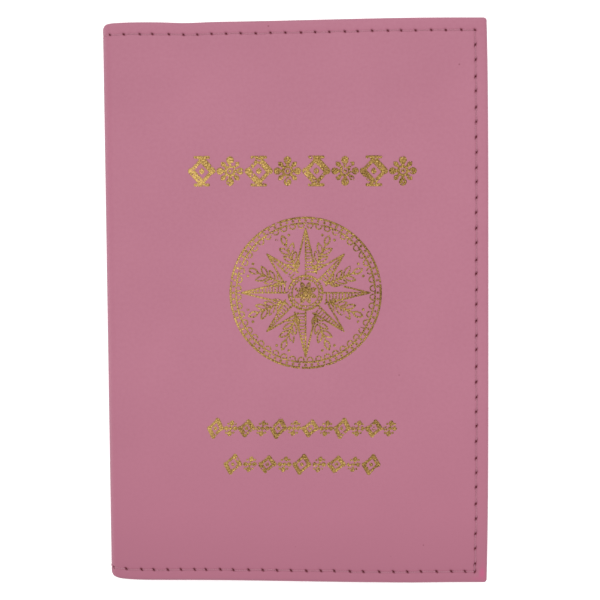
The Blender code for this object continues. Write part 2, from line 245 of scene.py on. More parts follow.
# cells have at most 2 units from here on, and on the skin that shows inside
FOLD_FINE_FROM = FOLD_FROM - 2.0
TWO_UNITS = 0.5
# a material's pattern runs this much faster through a plate than along it
FLAT_DEPTH = 4

# ---- stage, in metres
WORLD_STRENGTH = 0.85
KEY_POWER = 4.2
KEY_SIZE = 0.8
KEY_PLACE = (-0.08, 0.55, 1.20)
FLOOR_HALF = 3.0
FLOOR_LEVEL = -0.0002
FLOOR_GLOW = 0.50
VIEW_WIDTH = 0.1494
VIEW_X = 0.00125
LENS = 135.0
SENSOR = 36.0


# ---- flat description
def smooth(t):
    """Goes from 0 to 1 as t does, with no kink at either end."""
    t = np.clip(t, 0.0, 1.0)
    return t * t * (3 - 2 * t)


def ramp(x, size, start, reach):
    """A smooth change by size, which begins at start and is complete a reach further on."""
    return size * smooth((x - start) / reach)


def bell(distance, width):
    return np.exp(-((distance / width) ** 2))


def no_field(a):
    return np.zeros(np.shape(a))


def fold_shift(b):
    """How far the leaning fold lies inside the full width, at a height."""
    return FOLD_MID_X + FOLD_SLOPE * (b - TOP_Y) + FORE_X


def past_flat(a, b):
    """How far flat points lie past the start of the fold, along the leather."""
    shift = fold_shift(b)
    lean = ramp(a, shift, LEAN_FROM, LEAN_TO - LEAN_FROM)
    return a - lean - (FOLD_FROM - shift)


def edge_height(a, b, beside):
    """Y of a flat point: the edges run slightly off square and draw in at the fold."""
    y = b - TOP_Y
    dip, dip_at, dip_width = TOP_DIP
    top = ramp(a, *TOP_DROP) + dip * bell(a - dip_at, dip_width)
    bottom = ramp(a, *BOTTOM_DROP) + ramp(a, *BOTTOM_CORNER_RISE)
    share = np.abs(y) / TOP_Y
    moved = np.where(y > 0, -top, bottom) * share ** EDGE_FADE
    for sign in (1, -1):
        rise, run = FOLD_SLOPES[sign]
        corner, reach = FOLD_CORNERS[sign]
        near = 1 - np.clip(beside / reach, 0, 1)
        drop = rise * np.exp(-beside / run) + corner * (1 - np.sqrt(1 - near ** 2))
        moved = moved - sign * np.where(sign * y > 0, drop, 0) * share ** FOLD_FADE
    return y + moved


class Half:
    """One cover, front or back, and its half of the spine."""

    def __init__(self, name):
        self.name = name
        self.front = name == "front"
        self.cover = name + "_cover"

    def place(self, a, b, depth):
        """World points, in millimetres, of flat points."""
        a, b, depth = np.broadcast_arrays(a, b, depth)
        past = past_flat(a, b)
        flat_end = FOLD_FROM - fold_shift(b)
        angle = np.clip(past / FOLD_RADIUS, 0, math.pi / 2)
        down = np.clip(past - FOLD_ARC, 0, None)
        reach = flat_end + np.minimum(past, 0)
        radius = FOLD_RADIUS - depth
        bow = FORE_EDGE_BOW * ((b - TOP_Y) / TOP_Y) ** 4 - FORE_EDGE_OUT
        bow = bow * smooth(1 - a / FORE_BOW_REACH)
        x = FORE_X - reach - bow - radius * np.sin(angle)
        y = edge_height(a, b, flat_end + FOLD_RADIUS - reach - FOLD_RADIUS * np.sin(angle))
        fall = FOLD_RADIUS - radius * np.cos(angle) + down
        z = fall + self.wave(a, b)
        if self.front:
            z = THICK - z
        return np.stack([x, y, z], axis=-1)

    def wave(self, a, b):
        """Gentle unevenness of a cover, never above the nominal face."""
        calm = smooth(a / 12) * smooth((FOLD_FROM - 2 - a) / 14)
        slow, slow_a, slow_b = SLOW_WAVE
        fine, fine_a, fine_b = FINE_WAVE
        phase_a, phase_b = WAVE_PHASES[self.name]
        slow_part = slow * np.sin(a / slow_a + phase_a) * np.sin(b / slow_b + phase_b)
        return calm * (WAVE_DEPTH + slow_part + fine * np.sin(a / fine_a + b / fine_b))

    def attach(self, piece, slot, nodes, folds=False):
        """Hides the CAD nodes a piece replaces and ties it to its cover's body, unless it folds: then its
        transform is only baked in. Its slot, the finish, is not used.
        """
        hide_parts(*nodes)
        if not folds:
            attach(piece, self.cover)
            return
        if self.front:
            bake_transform(piece)
        else:
            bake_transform(piece)

    def cad_nodes(self, own, spine):
        """The cover's own CAD nodes, and for the front half the spine's too."""
        nodes = [self.name + "_" + node for node in own]
        if self.front:
            nodes += ["spine_" + node for node in spine]
        return nodes


# ---- adaptive plates
class Axis:
    """Grid lines along one side of a plate, whose ends may roll over its rounded rim."""

    def __init__(self, low, high, radius, rolled=(True, True)):
        self.bounds = (low, high)
        self.rolled = rolled
        self.arc = radius * math.pi / 2
        total = high - low + (self.arc - radius) * sum(rolled)
        self.count = CELLS[0] * max(1, round(total / (CELLS[0] * UNIT)))
        along = np.linspace(0, total, self.count + 1)
        self.rim = np.full(self.count + 1, FAR)
        self.ends = []
        for distance, is_rolled in zip((along, total - along), rolled):
            if is_rolled:
                turned = radius * (1 - np.cos(np.minimum(distance / radius, math.pi / 2)))
                self.rim = np.minimum(self.rim, distance)
                distance = np.where(distance < self.arc, turned, distance + (radius - self.arc))
            self.ends.append(distance)
        from_low, from_high = self.ends
        self.at = np.where(from_low < from_high, low + from_low, high - from_high)


def round_corner(da, db, radius):
    """Moves distances from the two sides of a square corner onto a rounded one."""
    ring = np.minimum(da, db)
    left = np.maximum(radius - ring, 1e-6)
    side = np.where(db <= da, (da - ring) / left, -(db - ring) / left)
    angle = math.pi / 4 * (1 + side)
    return radius - left * np.cos(angle), radius - left * np.sin(angle)


def rounded_plan(first, second, corner):
    """Plan positions of every grid point, with the rolled corners rounded."""
    a, b = np.meshgrid(first.at, second.at, indexing="ij")
    for a_high in (0, 1):
        for b_high in (0, 1):
            if not (first.rolled[a_high] and second.rolled[b_high]):
                continue
            da, db = np.meshgrid(first.ends[a_high], second.ends[b_high], indexing="ij")
            near = (da < corner) & (db < corner)
            new_a, new_b = round_corner(da, db, corner)
            a = np.where(near, first.bounds[a_high] + (1 - 2 * a_high) * new_a, a)
            b = np.where(near, second.bounds[b_high] + (1 - 2 * b_high) * new_b, b)
    return a, b


def leaf_cells(wanted):
    """The largest squares, as (i, j, size), that are nowhere coarser than wanted."""
    found = []
    nx, ny = wanted.shape
    pending = np.ones((nx // CELLS[0], ny // CELLS[0]), bool)
    for size in CELLS:
        block = wanted.reshape(nx // size, size, ny // size, size).min(axis=(1, 3))
        done = pending & (block >= size)
        i, j = np.nonzero(done)
        found.append(np.stack([i * size, j * size, np.full(len(i), size)], axis=1))
        pending = (pending & ~done).repeat(2, 0).repeat(2, 1)
    return np.concatenate(found)


def used_points(cells, shape):
    used = np.zeros(shape, bool)
    i, j, size = cells.T
    for di in (0, 1):
        for dj in (0, 1):
            used[i + di * size, j + dj * size] = True
    return used


def square_corners(ids, i, j):
    """What a grid holds at a square's corners, going round."""
    return [ids[i, j], ids[i + 1, j], ids[i + 1, j + 1], ids[i, j + 1]]


def cell_faces(cells, ids):
    """One polygon for each cell, through every vertex on its border."""
    small = cells[cells[:, 2] == 1]
    faces = np.stack(square_corners(ids, small[:, 0], small[:, 1]), axis=1).tolist()
    for i, j, n in cells[cells[:, 2] > 1].tolist():
        border = np.concatenate([
            ids[i:i + n, j], ids[i + n, j:j + n],
            ids[i + n:i:-1, j + n], ids[i, j + n:j:-1],
        ])
        faces.append(border[border >= 0].tolist())
    return faces


def add_object(name, data):
    obj = bpy.data.objects.new(name, data)
    bpy.context.scene.collection.objects.link(obj)
    return obj


def to_mesh(name, points, faces, material, fields):
    """A smooth object from points in millimetres and its point attributes."""
    mesh = bpy.data.meshes.new(name)
    mesh.from_pydata((points * MM).tolist(), [], faces)
    mesh.polygons.foreach_set("use_smooth", np.ones(len(mesh.polygons), bool))
    for key, values in fields.items():
        values = np.asarray(values, np.float32)
        kind, field = ("FLOAT_VECTOR", "vector") if values.ndim == 2 else ("FLOAT", "value")
        mesh.attributes.new(key, kind, "POINT").data.foreach_set(field, values.ravel())
    mesh.materials.append(material)
    mesh.validate()
    return add_object(name, mesh)


def wanted_cells(face, a, b, inside_rim, detail, cut_end):
    """Cell size for each grid square, coarser away from the rim and the details."""
    mid_a, mid_b, mid_rim = ((values[:-1, :-1] + values[1:, 1:]) / 2 for values in (a, b, inside_rim))
    distance = np.minimum(mid_rim, detail(face, mid_a, mid_b)[0])
    steps = [distance < reach for reach in CELL_REACHES.values()]
    sizes = np.select(steps, list(CELL_REACHES), CELLS[0])
    if cut_end:
        sizes[-CUT_CELL:, :] = np.minimum(sizes[-CUT_CELL:, :], CUT_CELL)
    return sizes


def painted_rim_and_fold_shade(a, b, rim):
    """Painted shade on the leather, 0 to 1, along its rim and along the fold."""
    along_fold = FOLD_SHADE * bell(past_flat(a, b) - FOLD_ARC, FOLD_SHADE_REACH)
    return np.maximum(1 - smooth(rim / RIM_SHADE_REACH), along_fold)


def cut_faces(outer, inner):
    """Polygons of a flat cut between the last vertices of both faces."""
    faces = []
    both = np.nonzero((outer >= 0) & (inner >= 0))[0].tolist()
    for start, end in zip(both, both[1:]):
        over = outer[start:end + 1].tolist()
        under = inner[start:end + 1][::-1].tolist()
        loop = list(dict.fromkeys(k for k in over + under if k >= 0))
        if len(loop) > 2:
            faces.append(loop)
    return faces


def sharpen_cut(mesh, cut):
    """Marks the edges of a flat cut sharp, so that the smooth shading ends there."""
    on_cut = np.zeros(len(mesh.vertices), bool)
    on_cut[cut[cut >= 0]] = True
    pairs = np.empty(2 * len(mesh.edges), np.int32)
    mesh.edges.foreach_get("vertices", pairs)
    sharp = on_cut[pairs].reshape(-1, 2).all(axis=1)
    mesh.attributes.new("sharp_edge", "BOOLEAN", "EDGE").data.foreach_set("value", sharp)


def plate(name, half, span_a, span_b, depth, thickness, material, detail, bulge=None, corner=1.0,
          cut_end=False):
    """A thin plate with a rounded rim, laid on a half.

    detail(face, a, b) gives the distance to the nearest detail, the press into the surface and two point
    fields, hole (the painted shade of holes, creases and seams) and tint (the dye), for face 0 (towards the
    outside) and 1 (towards the inside). bulge(a, b) lifts the whole plate inwards. cut_end leaves the far end
    of a unrolled and closes it with a flat cut.
    """
    radius = thickness / 2
    first = Axis(*span_a, radius, (True, not cut_end))
    second = Axis(*span_b, radius)
    a, b = rounded_plan(first, second, corner)
    rim = np.minimum(first.rim[:, None], second.rim[None, :])
    lift = radius * (1 - np.sin(np.minimum(rim / radius, math.pi / 2)))
    ids = np.full(a.shape, -1)
    count = 0
    parts, faces, borders = [], [], []
    for face in (0, 1):
        ids = np.where(rim == 0, ids, -1)
        cells = leaf_cells(wanted_cells(face, a, b, rim - first.arc, detail, cut_end))
        fresh = used_points(cells, a.shape) & (ids < 0)
        ids[fresh] = count + np.arange(fresh.sum())
        count += int(fresh.sum())
        fa, fb = a[fresh], b[fresh]
        _, press, hole, tint = detail(face, fa, fb)
        level = depth + lift[fresh] + press
        if face == 1:
            level = depth + thickness - lift[fresh] - press
        flat = np.stack([fa, fb, level * FLAT_DEPTH], axis=1)
        if bulge:
            level = level + bulge(fa, fb)
        at = half.place(fa, fb, level)
        parts.append({"at": at, "flat": flat, "hole": hole, "tint": tint, "rim_and_fold_shade": painted_rim_and_fold_shade(fa, fb, rim[fresh])})
        flip = (face == 0) == half.front
        faces += [p[::-1] if flip else p for p in cell_faces(cells, ids)]
        borders.append(ids[-1])
    if cut_end:
        faces += [p[::-1] if half.front else p for p in cut_faces(*borders)]
    fields = {key: np.concatenate([part[key] for part in parts]) for key in parts[0]}
    obj = to_mesh(name, fields.pop("at"), faces, material, fields)
    if cut_end:
        sharpen_cut(obj.data, np.concatenate(borders))
    return obj


# ---- seam work
def seam_run(start, end, pitch, rng):
    """Needle holes of a straight seam, evenly spaced but for a slight unsteadiness."""
    run = np.subtract(end, start)
    length = np.linalg.norm(run)
    count = max(1, round(length / pitch))
    share = np.arange(count + 1) / count
    share[1:-1] += rng.uniform(-HOLE_JITTER, HOLE_JITTER, count - 1) * pitch / length
    across = np.array([-run[1], run[0]]) / length
    side = rng.uniform(-HOLE_STRAY, HOLE_STRAY, count + 1)
    side[[0, -1]] = 0
    return start + share[:, None] * run + side[:, None] * across


class Seam:
    """Straight runs of stitches, with the turn and length of each slanted hole."""

    def __init__(self, corners, stitches, seed, reach):
        """stitches holds the pitch and hole length of each run. reach(a, b) is the distance from the line."""
        self.reach = reach
        rng = np.random.default_rng(seed)
        holes, slants = [], []
        for start, end, (pitch, hole_length) in zip(corners, corners[1:], stitches):
            run = seam_run(start, end, pitch, rng)
            heading = math.atan2(end[1] - start[1], end[0] - start[0])
            upright = start[0] == end[0]
            turn = heading + (UPRIGHT_HOLE_SLANT if upright else LEVEL_HOLE_SLANT)
            skip = 1 if holes else 0
            holes += run[skip:].tolist()
            slants += [(turn, hole_length)] * (len(run) - skip)
        self.holes = np.array(holes)
        self.slants = slants

    def marks(self, a, b):
        """Dip (0 to 1) and painted shade (0 to 1) of the needle holes, at flat points."""
        dip, dark = no_field(a), no_field(a)
        for (ha, hb), (turn, length) in zip(self.holes, self.slants):
            near = (np.abs(a - ha) < HOLE_REACH) & (np.abs(b - hb) < HOLE_REACH)
            if not near.any():
                continue
            da, db = a[near] - ha, b[near] - hb
            along = (da * math.cos(turn) + db * math.sin(turn)) / length
            across = (db * math.cos(turn) - da * math.sin(turn)) / HOLE_WIDE
            reach = along ** 2 + across ** 2
            dip[near] = np.maximum(dip[near], np.exp(-reach))
            dark[near] = np.maximum(dark[near], 1 - ramp(np.sqrt(reach), 1, *HOLE_FADE))
        return dip, dark

    def relief(self, a, b, groove, width, dent):
        """Distance from the seam, the press of its groove and holes, and the painted shade of its holes."""
        reach = self.reach(a, b)
        dip, dark = self.marks(a, b)
        return reach, groove * bell(reach, width) + dent * dip, dark


def edge_seam_reach(a, b):
    """Distance from the edge seam. Inwards is positive."""
    beside = np.minimum(b - BOTTOM_SEAM_INSET, HEIGHT - TOP_SEAM_INSET - b)
    return np.minimum(a - FORE_SEAM_INSET, beside)


def edge_seam(half):
    """From the middle of the spine along the top, down the fore edge and back along the bottom."""
    low, high = BOTTOM_SEAM_INSET, HEIGHT - TOP_SEAM_INSET
    fore = FORE_SEAM_INSET
    corners = [
        (HALF_LENGTH, high), (FOLD_FROM + TOP_LAST_HOLE, high), (fore, high),
        (fore, low + END_STITCH_UP), (fore, low), (fore + END_STITCH_ALONG, low),
        (FOLD_FROM + BOTTOM_LAST_HOLE, low), (HALF_LENGTH, low),
    ]
    stitches = [TOP_STITCH] * 2 + [FORE_STITCH] * 2 + [BOTTOM_STITCH] * 3
    return Seam(corners, stitches, 7 if half.front else 11, edge_seam_reach)


def card_seam_reach(a, b):
    """Distance from the card pockets' seam. Inwards is positive."""
    side = np.minimum(a - CARD_FORE, CARD_MOUTH_END - a)
    return np.minimum(side, b - CARD_LOW) - CARD_SEAM_INSET


def card_seam(top):
    """Down the inner side of the card pockets, along their bottom and up their fore side."""
    inner, fore = CARD_MOUTH_END - CARD_SEAM_INSET, CARD_FORE + CARD_SEAM_INSET
    end, low = top - CARD_SEAM_END, CARD_LOW + CARD_SEAM_INSET
    corners = [(inner, end), (inner, low), (fore, low), (fore, end)]
    return Seam(corners, [CARD_STITCH] * 3, 23, card_seam_reach)


def tube_faces(base, samples, sides):
    """Faces of a closed tube of rings."""
    faces = []
    for row in range(base, base + (samples - 1) * sides, sides):
        for s in range(sides):
            n = (s + 1) % sides
            faces.append((row + s, row + n, row + sides + n, row + sides + s))
    faces.append(tuple(base + s for s in reversed(range(sides))))
    faces.append(tuple(base + (samples - 1) * sides + s for s in range(sides)))
    return faces


def stitched(name, half, seam, surface, nodes, folds=True, into=1, thickness=0.15, lie=0.02, dive=0.6):
    """Two-ply thread from hole to hole. surface(a, b) is the face's depth, and into is its inward sign.

    A stitch lies under the face by lie, and its ends go down by dive.
    """
    points, faces, flats = [], [], []
    t = np.linspace(0, 1, THREAD_SAMPLES)
    rest = 1 - (2 * t - 1) ** DIVE_POWER
    bows = np.random.default_rng(len(seam.holes)).uniform(-THREAD_BOW, THREAD_BOW, len(seam.holes))
    shade_from, shade_reach = DIVE_SHADE
    shade = np.repeat(smooth((shade_from - rest) / shade_reach), THREAD_SIDES)
    ring = FULL_TURN * np.arange(THREAD_SIDES) / THREAD_SIDES
    for k, (start, end) in enumerate(zip(seam.holes, seam.holes[1:])):
        length = np.linalg.norm(end - start)
        heading = (end - start) / length
        across = np.array([-heading[1], heading[0]])
        bow = bows[k] * np.sin(math.pi * t)
        middle = start + t[:, None] * (end - start) + bow[:, None] * across
        level = surface(middle[:, 0], middle[:, 1]) + into * (lie + dive * (1 - rest))
        for ply in range(THREAD_PLIES):
            phase = FULL_TURN / THREAD_TWIST * t * length + math.pi * ply + k
            side, up = (
                thickness * (PLY_OFFSET * part(phase)[:, None] + PLY_RADIUS * part(ring)[None, :])
                for part in (np.cos, np.sin)
            )
            a = middle[:, 0:1] + across[0] * side
            b = middle[:, 1:2] + across[1] * side
            faces += tube_faces(len(points) * len(shade), THREAD_SAMPLES, THREAD_SIDES)
            points.append(half.place(a, b, level[:, None] + up).reshape(-1, 3))
            flats.append(np.stack([a, b, up], axis=-1).reshape(-1, 3))
    # the hole field carries the painted shade on the stitch's ends
    fields = {"flat": np.concatenate(flats), "hole": np.tile(shade, len(points))}
    thread = to_mesh(name, np.concatenate(points), faces, THREAD, fields)
    half.attach(thread, "seam_thread", nodes, folds)


# ---- foil ornament
class Stamp:
    """A raster of distances to foil strokes: negative inside the foil."""

    STEP = 0.125
    MARGIN = 2.0
    BORDER = 0.3
    STROKE_REACH = 1.8
    EMPTY = 9.0

    def __init__(self, node, spread):
        low, high = box_mm(node)
        self.node = node
        self.spread = spread
        self.centre = ((low[0] + high[0]) / 2, (low[1] + high[1]) / 2)
        self.size = (high[0] - low[0], high[1] - low[1])
        self.origin = [c - s / 2 - self.MARGIN for c, s in zip(self.centre, self.size)]
        counts = [round((s + 2 * self.MARGIN) / self.STEP) + 1 for s in self.size]
        self.xs = self.origin[0] + self.STEP * np.arange(counts[0])
        self.ys = self.origin[1] + self.STEP * np.arange(counts[1])
        self.field = np.full(counts, self.EMPTY)

    def stroke(self, points, radii):
        """A line through points, measured from the centre, with a half-width for each."""
        if np.isscalar(radii):
            radii = [radii] * len(points)
        ends = [(np.add(p, self.centre), radius * self.spread) for p, radius in zip(points, radii)]
        for (p, rp), (q, rq) in zip(ends, ends[1:] or ends):
            self.capsule(p, q, rp, rq)

    def dot(self, point, radius):
        self.stroke([point], radius)

    def capsule(self, p, q, rp, rq):
        reach = max(rp, rq) + self.STROKE_REACH
        i0, i1 = np.searchsorted(self.xs, (min(p[0], q[0]) - reach, max(p[0], q[0]) + reach))
        j0, j1 = np.searchsorted(self.ys, (min(p[1], q[1]) - reach, max(p[1], q[1]) + reach))
        x, y = self.xs[i0:i1, None], self.ys[None, j0:j1]
        d = q - p
        length = float(d @ d)
        t = np.clip(((x - p[0]) * d[0] + (y - p[1]) * d[1]) / length, 0, 1) if length > 0 else 0.0
        distance = np.hypot(x - p[0] - t * d[0], y - p[1] - t * d[1]) - (rp + t * (rq - rp))
        self.field[i0:i1, j0:j1] = np.minimum(self.field[i0:i1, j0:j1], distance)

    def sample(self, a, b):
        """Distance to the foil at flat points of the front cover, or FAR off the raster."""
        x, y = FORE_X - a, b - TOP_Y
        i = np.clip((x - self.origin[0]) / self.STEP, 0, len(self.xs) - 1.001)
        j = np.clip((y - self.origin[1]) / self.STEP, 0, len(self.ys) - 1.001)
        i0, j0 = i.astype(int), j.astype(int)
        u, v = i - i0, j - j0
        f = self.field
        low, high = (f[i0, row] * (1 - u) + f[i0 + 1, row] * u for row in (j0, j0 + 1))
        reach_x, reach_y = (s / 2 + self.MARGIN - self.BORDER for s in self.size)
        inside = (np.abs(x - self.centre[0]) < reach_x) & (np.abs(y - self.centre[1]) < reach_y)
        return np.where(inside, low * (1 - v) + high * v, FAR)


def foil_press(distance):
    return FOIL_PRESS * smooth((FOIL_CLEAR - distance) / FOIL_WALL)


def around(count, offset=0.0):
    return [FULL_TURN * (k + offset) / count for k in range(count)]


def polar(radius, angle, centre=(0, 0)):
    return centre[0] + radius * math.cos(angle), centre[1] + radius * math.sin(angle)


def ring_points(radius, count, centre=(0, 0), start=0.0, sweep=FULL_TURN):
    return [polar(radius, start + sweep * k / count, centre) for k in range(count + 1)]


def slanted(points, slant=CAPTION_SLANT):
    return [(x + slant * y, y) for x, y in points]


def leaf_curve(base, tip, bulge, count=8):
    """One side of a leaf, from base to tip, bowed out by a share of its length."""
    d = np.subtract(tip, base)
    normal = np.array([-d[1], d[0]])
    return [base + t * d + normal * bulge * 4 * t * (1 - t) for t in np.linspace(0, 1, count + 1)]


def leaf(stamp, base, tip, bulge, width, vein=None):
    """An outlined leaf, with a vein if one is asked for."""
    stamp.stroke(leaf_curve(base, tip, bulge), width)
    stamp.stroke(leaf_curve(base, tip, -bulge), width)
    if vein:
        stamp.stroke([base, tip], [vein, vein * 0.5])


def lozenge(stamp, cx, rx, ry, fine, bold, slant=0.0):
    """An outlined lozenge whose four sides are fine and bold by turns."""
    corners = slanted([(cx - rx, 0), (cx, ry), (cx + rx, 0), (cx, -ry), (cx - rx, 0)], slant)
    for start, end, width in zip(corners, corners[1:], (fine, bold, fine, bold)):
        stamp.stroke([start, end], width)


def row_of_motifs(stamp, motifs):
    """Number, middle, half width and half height of each motif."""
    half_width, half = stamp.size[0] / motifs / 2, stamp.size[1] / 2
    return [(k, (2 * k + 1 - motifs) * half_width, half_width, half) for k in range(motifs)]


def draw_title(stamp):
    """A band of printers' flowers: bold lozenges and eight-petal rosettes by turns."""
    for k, cx, rx, half in row_of_motifs(stamp, 8):
        if k % 2 == 0:
            draw_bold_lozenge(stamp, cx, rx - 0.15, half)
        else:
            draw_rosette(stamp, cx, rx - 0.3, half)


def draw_bold_lozenge(stamp, cx, rx, half):
    """A lozenge round a solid one, with bars at its top and bottom."""
    fine, bold = 0.42, 0.72
    lozenge(stamp, cx, rx - bold, half - 0.85, fine, bold)
    stamp.stroke([(cx, -0.85), (cx, 0.0), (cx, 0.85)], [0.05, 0.62, 0.05])
    for y in (half - 0.33, 0.33 - half):
        stamp.stroke([(cx - 1.7, y), (cx + 1.7, y)], 0.34)


def draw_rosette(stamp, cx, rx, half):
    """Eight solid petals round a ring, the slanting ones shortest."""
    centre = (cx, 0)
    root = 1.3
    for k, angle in enumerate(around(8)):
        length = (rx, 3.1, half - 0.15, 3.1)[k % 4]
        width = (0.80, 0.55, 0.86, 0.55)[k % 4]
        petal = [polar(radius, angle, centre) for radius in (root, 0.55 * (length + root), length)]
        stamp.stroke(petal, [0.20, width, 0.14])
    stamp.stroke(ring_points(1.08, 24, centre), 0.30)
    stamp.dot(centre, 0.42)


def draw_caption(stamp, motifs):
    """Leaning lozenges, tall and short by turns, with a flower between each pair."""
    for k, cx, rx, half in row_of_motifs(stamp, motifs):
        if k % 2 == 0:
            tall = half - (0.4 if k % 4 == 0 else 0.8)
            lozenge(stamp, cx, rx - 0.35, tall, 0.32, 0.48, CAPTION_SLANT)
            stamp.dot((cx, 0), 0.42)
        else:
            draw_small_flower(stamp, cx)


def draw_small_flower(stamp, cx):
    """Four leaning petals round a bead, with a dot above and below."""
    for x, y, width in ((1.5, 0, 0.50), (0, 1.7, 0.54), (-1.5, 0, 0.50), (0, -1.7, 0.54)):
        petal = [(cx + share * x, share * y) for share in (0.4, 0.75, 1.1)]
        stamp.stroke(slanted(petal), [0.18, width, 0.14])
    stamp.dot((cx, 0), 0.38)
    for x in (-0.95, 0.95):
        for y in (-1.1, 1.1):
            stamp.stroke(slanted([(cx + x, y)]), 0.24)


def draw_emblem(stamp):
    """A compass rose inside a beaded double ring, with leaf sprays between its rays."""
    outer = stamp.size[0] / 2
    stamp.stroke(ring_points(outer - 0.25, 120), 0.23)
    stamp.stroke(ring_points(outer - 1.65, 120), 0.20)
    for angle in around(72):
        stamp.dot(polar(outer - 0.95, angle), 0.29)
    for angle in around(48, 0.5):
        scallop = ring_points(0.72, 8, polar(outer - 2.1, angle), angle + math.pi / 2, math.pi)
        stamp.stroke(scallop, 0.14)
    for k, angle in enumerate(around(16)):
        if k % 4 == 0:
            draw_ray(stamp, angle, outer - 3.0, 2.7)
        elif k % 4 == 2:
            draw_ray(stamp, angle, outer - 5.4, 2.3)
        else:
            draw_spray(stamp, angle, outer - 3.6)
    draw_hub(stamp)


def draw_hub(stamp):
    """A flower of eight leaves in a beaded ring, at the middle of the rose."""
    stamp.stroke(ring_points(HUB_RADIUS, 48), 0.21)
    stamp.stroke(ring_points(HUB_RADIUS - 0.9, 48), 0.16)
    for angle in around(24):
        stamp.dot(polar(HUB_RADIUS - 0.43, angle), 0.20)
    for angle in around(8, 0.5):
        leaf(stamp, polar(0.7, angle), polar(2.8, angle), 0.20, 0.15, 0.12)
    stamp.dot((0, 0), 0.55)


def draw_ray(stamp, angle, length, half_width):
    """A ray of the rose: an outlined kite with a ridge, one side of it hatched."""
    tip = polar(length, angle)
    side_angle = math.atan2(half_width, RAY_ROOT)
    left, right = (
        polar(math.hypot(RAY_ROOT, half_width), angle + sign * side_angle) for sign in (1, -1)
    )
    stamp.stroke([left, tip], [0.20, 0.18])
    stamp.stroke([right, tip], [0.20, 0.18])
    stamp.stroke([polar(HUB_RADIUS, angle), tip], [0.18, 0.14])
    lines = int((length - RAY_ROOT) / 0.75)
    for k in range(lines):
        share = (k + 0.4) / lines
        on_ridge = polar(RAY_ROOT + share * (length - RAY_ROOT), angle)
        on_side = right + share * np.subtract(tip, right)
        stamp.stroke([on_ridge, on_side], 0.13)


def draw_spray(stamp, angle, reach):
    """A short stem with pairs of leaves and two berries, pointing outwards."""
    stamp.stroke([polar(6.0, angle), polar(reach - 2.2, angle)], [0.17, 0.14])
    for k, radius in enumerate((6.3, 8.3, 10.3)):
        base = polar(radius, angle)
        for lean in (math.radians(38), -math.radians(38)):
            leaf(stamp, base, polar(2.4 + 0.3 * k, angle + lean, base), 0.19, 0.16)
    leaf(stamp, polar(reach - 2.6, angle), polar(reach, angle), 0.24, 0.17)
    for sign in (1, -1):
        stamp.dot(polar(reach - 0.4, angle + sign * 0.11), 0.30)


def grain(shape, seed, passes):
    values = np.random.default_rng(seed).standard_normal(shape)
    for _ in range(passes):
        for axis in (0, 1):
            values = (np.roll(values, 1, axis) + 2 * values + np.roll(values, -1, axis)) / 4
    return values / values.std()


def contour(field):
    """Marching squares: grid points, crossings and positions for the region where a field is negative."""
    inside = field < 0
    point_ids = np.full(field.shape, -1)
    spots = np.argwhere(inside)
    point_ids[inside] = np.arange(len(spots))
    positions = [spots.astype(float)]
    count = len(spots)
    crossings = []
    for axis in (0, 1):
        near, far = (field[:-1], field[1:]) if axis == 0 else (field[:, :-1], field[:, 1:])
        cross = (near < 0) != (far < 0)
        ids = np.full(field.shape, -1)
        where = np.argwhere(cross)
        moved = where.astype(float)
        moved[:, axis] += np.clip(near[cross] / (near[cross] - far[cross]), 0.08, 0.92)
        ids[where[:, 0], where[:, 1]] = count + np.arange(len(where))
        count += len(where)
        positions.append(moved)
        crossings.append(ids)
    return inside, point_ids, crossings, np.concatenate(positions)


def contour_faces(inside, point_ids, crossings):
    """Polygons of the region, and the pairs of crossings on its outline."""
    total = sum(corner.astype(int) for corner in (
        inside[:-1, :-1], inside[1:, :-1], inside[1:, 1:], inside[:-1, 1:],
    ))
    polygons = np.stack(square_corners(point_ids, *np.nonzero(total == 4)), axis=1).tolist()
    outline = []
    across, upward = crossings
    for i, j in np.argwhere((total > 0) & (total < 4)).tolist():
        edges = (across[i, j], upward[i + 1, j], across[i, j + 1], upward[i, j])
        loop = []
        for corner, edge in zip(square_corners(point_ids, i, j), edges):
            if corner >= 0:
                loop.append((int(corner), False))
            if edge >= 0:
                loop.append((int(edge), True))
        polygons.append([k for k, _ in loop])
        for (p, p_cross), (q, q_cross) in zip(loop, loop[1:] + loop[:1]):
            if p_cross and q_cross:
                outline.append((p, q))
    return polygons, outline


def foil_piece(name, stamp, half, seed, painted_gleam):
    """The stamped foil as a thin plate with pits where the film didn't take.

    The last argument is a painted gleam: how much brighter the film is drawn at its left end, a little
    further on and at its right end.
    """
    pits = grain(stamp.field.shape, seed, 2)
    patches = grain(stamp.field.shape, seed + 1, 60)
    threshold = FOIL_WEAR - FOIL_PATCHES * patches
    broken = np.maximum(stamp.field, (pits - threshold) * FOIL_FLECK)
    inside, point_ids, crossings, positions = contour(broken)
    polygons, outline = contour_faces(inside, point_ids, crossings)
    x, y = (stamp.origin + Stamp.STEP * positions).T
    a, b = FORE_X - x, y + TOP_Y
    bed = foil_press(stamp.sample(a, b))
    points = np.concatenate([half.place(a, b, bed - FOIL_LIFT), half.place(a, b, bed + FOIL_ROOT)])
    count = len(x)
    faces = polygons + [[k + count for k in reversed(p)] for p in polygons]
    faces += [[q, p, p + count, q + count] for p, q in outline]
    flats = np.stack([a, b, no_field(a)], axis=1)
    stops = stamp.centre[0] + stamp.size[0] * (np.array([0.0, PAINTED_GLEAM_LENGTH, 1.0]) - 0.5)
    painted_gleams = np.interp(x, stops, painted_gleam)
    fields = {"flat": np.concatenate([flats, flats]), "painted_gleam": np.concatenate([painted_gleams, painted_gleams])}
    foil = to_mesh(name, points, faces, GOLD, fields)
    half.attach(foil, "gold_foil", [stamp.node])


